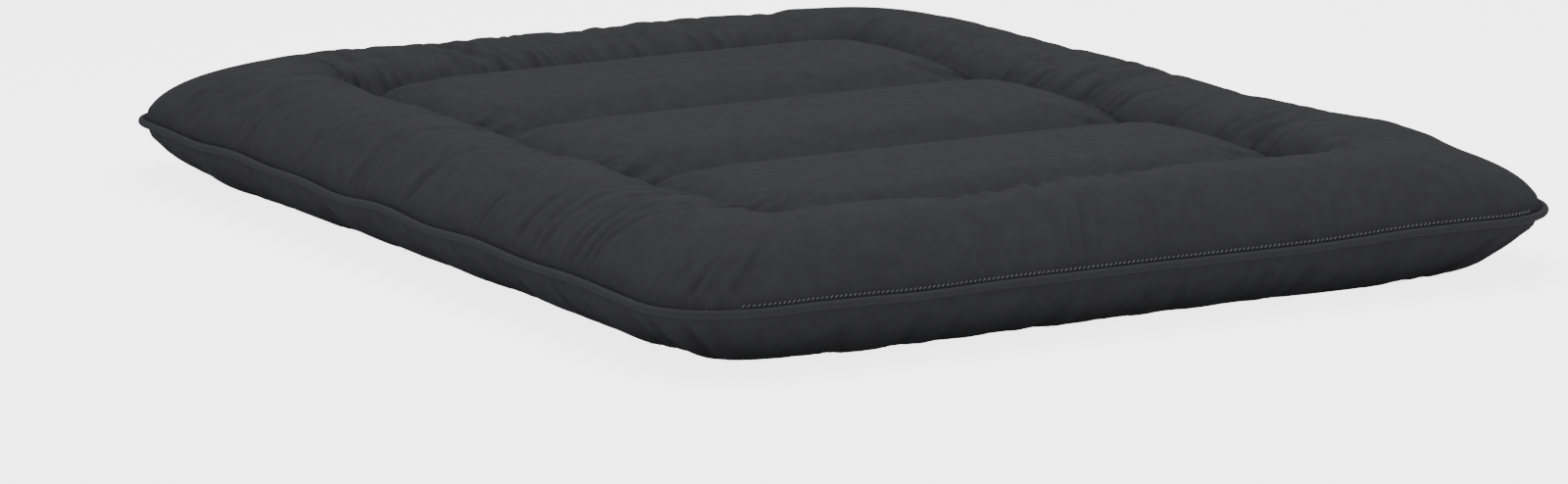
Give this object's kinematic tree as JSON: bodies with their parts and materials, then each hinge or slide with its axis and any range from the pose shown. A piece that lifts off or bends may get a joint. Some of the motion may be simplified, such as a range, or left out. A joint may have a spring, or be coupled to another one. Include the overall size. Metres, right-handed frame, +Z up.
{
  "type": "futon mattress",
  "caption": "Thick floor futon mattress with a plump border roll, lofted cross bands and a piped seam at mid height; it folds in three like a letter Z.",
  "frame": {"origin": "middle of the underside, on the floor", "axes": "+X across the width, +Y along the length towards the head end, +Z up"},
  "size_m": [1.524, 2.032, 0.186],
  "materials": {
    "ticking": "charcoal brushed microfibre twill, matt with a faint sheen",
    "piping_cloth": "the same cloth wrapped tightly over a cord",
    "wadding": "off-white cotton and polyester wadding",
    "baffle_cloth": "unbleached plain-weave cloth",
    "thread": "twisted polyester sewing thread, a shade lighter than the cloth"
  },
  "bodies": {
    "foot": {"baffle_foot": "baffle_cloth", "baffle_left_foot": "baffle_cloth", "baffle_right_foot": "baffle_cloth", "band_fill_foot": "wadding", "border_fill_foot": "wadding", "border_fill_left_foot": "wadding", "border_fill_right_foot": "wadding", "bottom_cover_foot": "ticking", "closing_seam": "thread", "piping_foot": "piping_cloth", "stitching_foot": "thread", "stitching_left_foot": "thread", "stitching_right_foot": "thread", "top_cover_foot": "ticking"},
    "middle": {"baffle_cross_foot": "baffle_cloth", "baffle_cross_head": "baffle_cloth", "baffle_left_middle": "baffle_cloth", "baffle_right_middle": "baffle_cloth", "band_fill_foot_inner": "wadding", "band_fill_head_inner": "wadding", "band_fill_middle": "wadding", "border_fill_left_middle": "wadding", "border_fill_right_middle": "wadding", "bottom_cover_middle": "ticking", "piping_left": "piping_cloth", "piping_right": "piping_cloth", "stitching_cross_foot": "thread", "stitching_cross_head": "thread", "stitching_left_middle": "thread", "stitching_right_middle": "thread", "top_cover_middle": "ticking"},
    "head": {"baffle_head": "baffle_cloth", "baffle_left_head": "baffle_cloth", "baffle_right_head": "baffle_cloth", "band_fill_head": "wadding", "border_fill_head": "wadding", "border_fill_left_head": "wadding", "border_fill_right_head": "wadding", "bottom_cover_head": "ticking", "piping_head": "piping_cloth", "stitching_head": "thread", "stitching_left_head": "thread", "stitching_right_head": "thread", "top_cover_head": "ticking"}
  },
  "joints": [
    {"name": "middle_fold", "type": "hinge", "parent": "foot", "child": "middle", "pos_m": [0, -0.33867, 0.188], "axis": [1, 0, 0], "range_deg": [0, 178]},
    {"name": "head_fold", "type": "hinge", "parent": "middle", "child": "head", "pos_m": [0, 0.33867, -0.002], "axis": [1, 0, 0], "range_deg": [-178, 0]}
  ],
  "couplings": [
    {"joint": "head_fold", "follows": "middle_fold", "ratio": -1}
  ]
}
